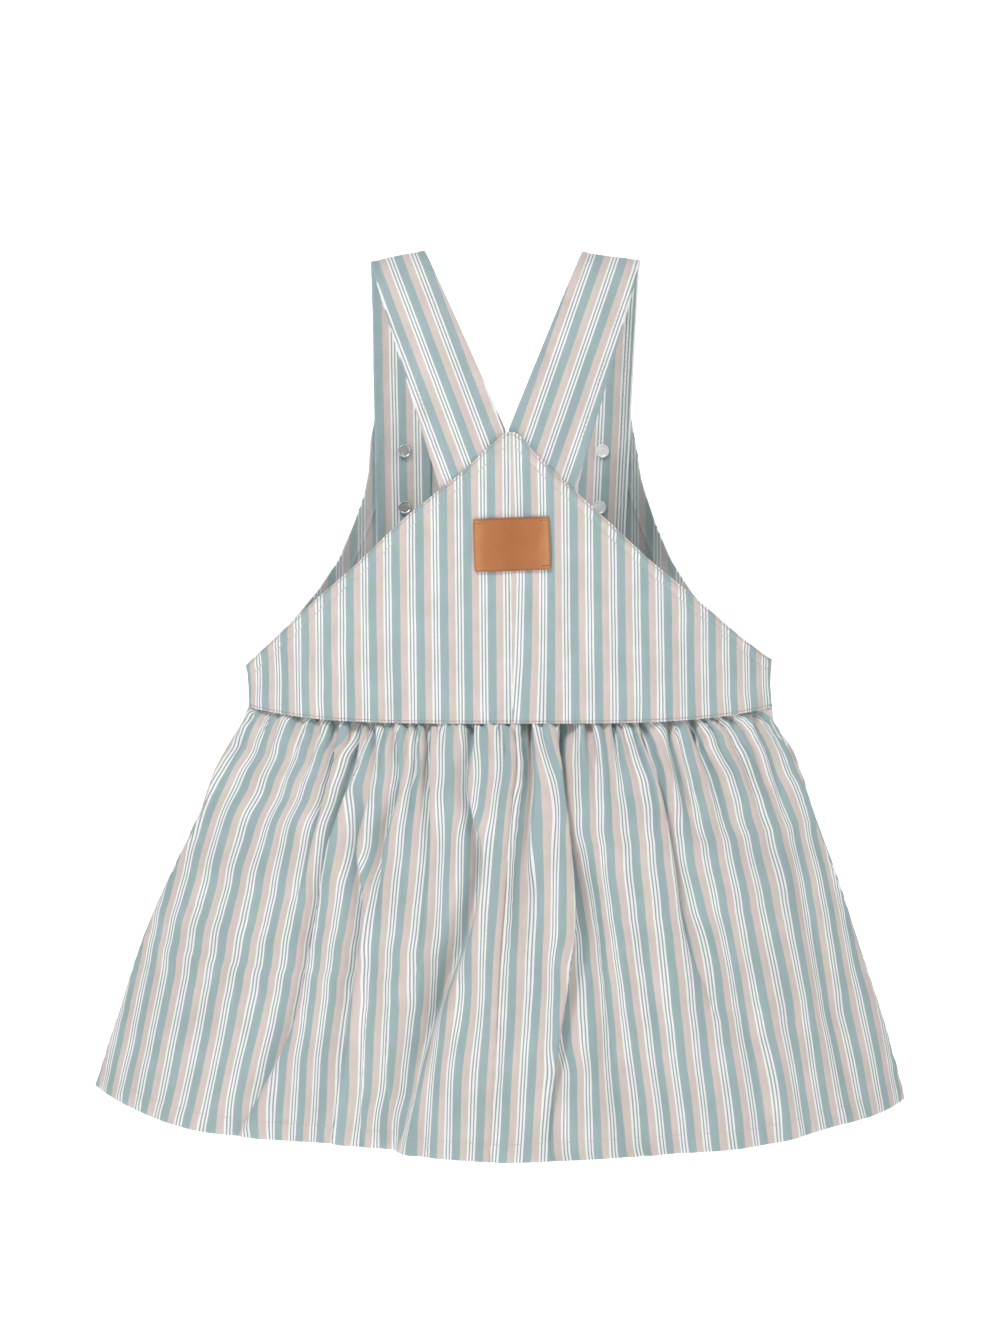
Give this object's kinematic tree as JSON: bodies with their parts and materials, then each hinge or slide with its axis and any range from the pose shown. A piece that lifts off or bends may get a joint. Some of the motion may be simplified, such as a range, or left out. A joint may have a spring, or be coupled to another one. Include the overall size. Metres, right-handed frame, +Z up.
{
  "type": "pinafore dress",
  "caption": "Child's pinafore dress in striped twill: pointed back bodice, straps that snap to a bib front, gathered flared skirt, filled out as if worn.",
  "frame": {"origin": "mount shoulders: between the shoulders, level with the highest point of the straps and midway between front and back", "axes": "+X to the wearer's right, +Y towards the front of the dress, +Z up; the back of the dress faces -Y"},
  "size_m": [0.4983, 0.1558, 0.55],
  "materials": {
    "striped_twill": "yarn-dyed striped cotton twill, matte",
    "tan_leather": "smooth tan leather, cut edges",
    "snap_metal": "satin nickel-plated snap caps"
  },
  "bodies": {
    "root": {"back_bodice_left": "striped_twill", "back_bodice_right": "striped_twill", "front_bib": "striped_twill", "strap_left": "striped_twill", "strap_right": "striped_twill", "back_skirt_left": "striped_twill", "back_skirt_right": "striped_twill", "front_skirt": "striped_twill", "pocket_edge_right": "striped_twill", "leather_patch": "tan_leather", "snap_inner_left_upper": "snap_metal", "snap_inner_left_lower": "snap_metal", "snap_inner_right_upper": "snap_metal", "snap_inner_right_lower": "snap_metal", "snap_outer_left_upper": "snap_metal", "snap_outer_left_lower": "snap_metal", "snap_outer_right_upper": "snap_metal", "snap_outer_right_lower": "snap_metal"}
  },
  "joints": []
}
